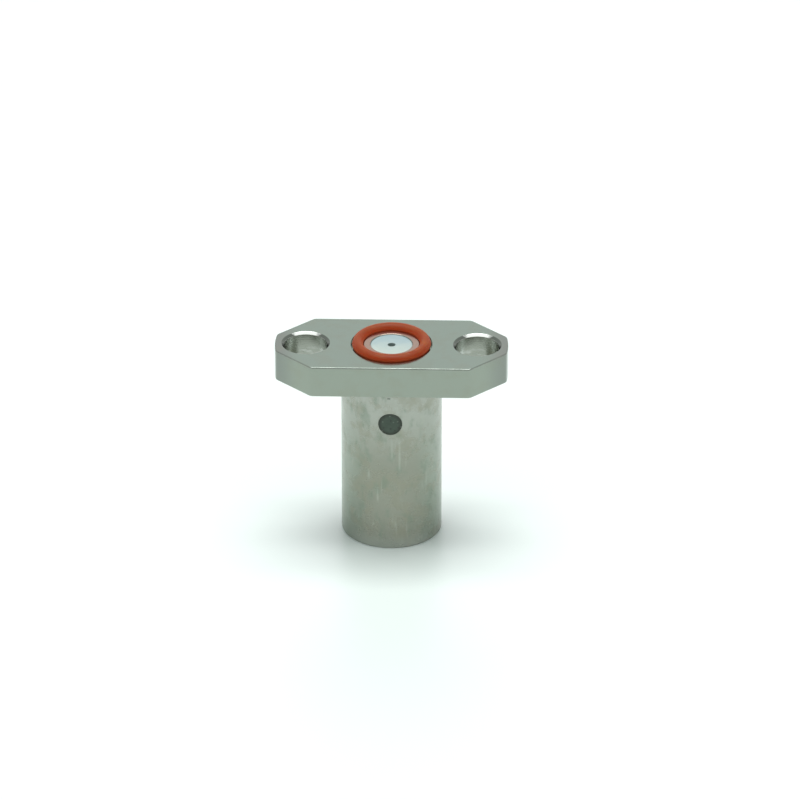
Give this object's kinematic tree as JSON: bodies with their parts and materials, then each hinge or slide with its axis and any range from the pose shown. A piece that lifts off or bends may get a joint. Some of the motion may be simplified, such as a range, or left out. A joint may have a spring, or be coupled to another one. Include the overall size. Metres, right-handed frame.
{
  "type": "coaxial flange jack",
  "caption": "Blind-mate coaxial jack: octagonal screw flange with a sealed rear face, and a plain round barrel with a socket contact inside its open mating end.",
  "frame": {"origin": "centre of the barrel's mating end, which the part stands on", "axes": "+Z along the connector's axis to the rear face, +X along the flange's length, -Y towards the resin fill in the barrel's side"},
  "size_m": [0.014, 0.0064, 0.0127],
  "materials": {
    "stainless": "passivated stainless steel, fine turned and milled, dull satin",
    "insulator": "white fluoropolymer, machined, slightly waxy",
    "contact": "gold plated spring copper alloy",
    "resin": "cured grey resin, wiped flush, fine bubbles",
    "seal": "red silicone rubber, smooth moulded"
  },
  "bodies": {
    "root": {"flange_body": "stainless", "insulator": "insulator", "center_contact": "contact", "epoxy_fill": "resin", "o_ring": "seal"}
  },
  "joints": []
}
